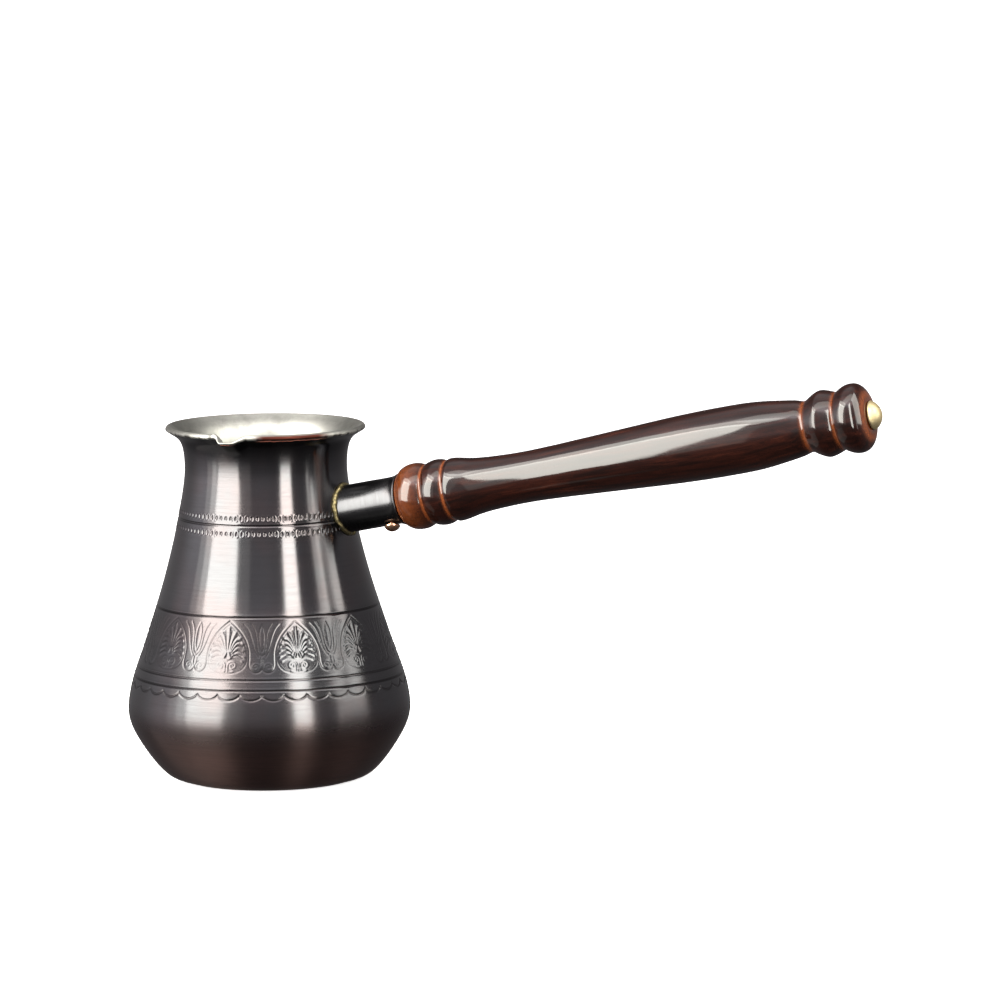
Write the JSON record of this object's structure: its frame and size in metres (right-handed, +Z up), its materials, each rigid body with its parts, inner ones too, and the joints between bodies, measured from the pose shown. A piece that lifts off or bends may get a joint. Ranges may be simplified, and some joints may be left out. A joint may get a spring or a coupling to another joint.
{
  "type": "turkish coffee pot",
  "caption": "Long-handled copper coffee pot with a wide belly, narrow neck, flared lip, pinched side spout, tinned inside and turned wooden handle.",
  "frame": {"origin": "centre of the pot's flat base, on the pot's axis", "axes": "+Z up the pot's axis; the handle points to +X and rises a little; the spout points to -Y"},
  "size_m": [0.2676, 0.096, 0.1413],
  "materials": {
    "patinated_copper": "dark patinated copper, brushed round the pot",
    "tin": "satin wiped tin",
    "socket_copper": "dark patinated copper, smooth",
    "braze_brass": "dull brass braze, uneven",
    "lacquered_wood": "dark brown wood under gloss lacquer, lighter in the turned grooves",
    "fastener_brass": "worn brass screw",
    "stud_brass": "satin brass dome"
  },
  "bodies": {
    "root": {"pot_body": "patinated_copper", "tin_lining": "tin", "handle_socket": "socket_copper", "braze_fillet": "braze_brass", "handle_grip": "lacquered_wood", "handle_screw": "fastener_brass", "end_stud": "stud_brass"}
  },
  "joints": []
}
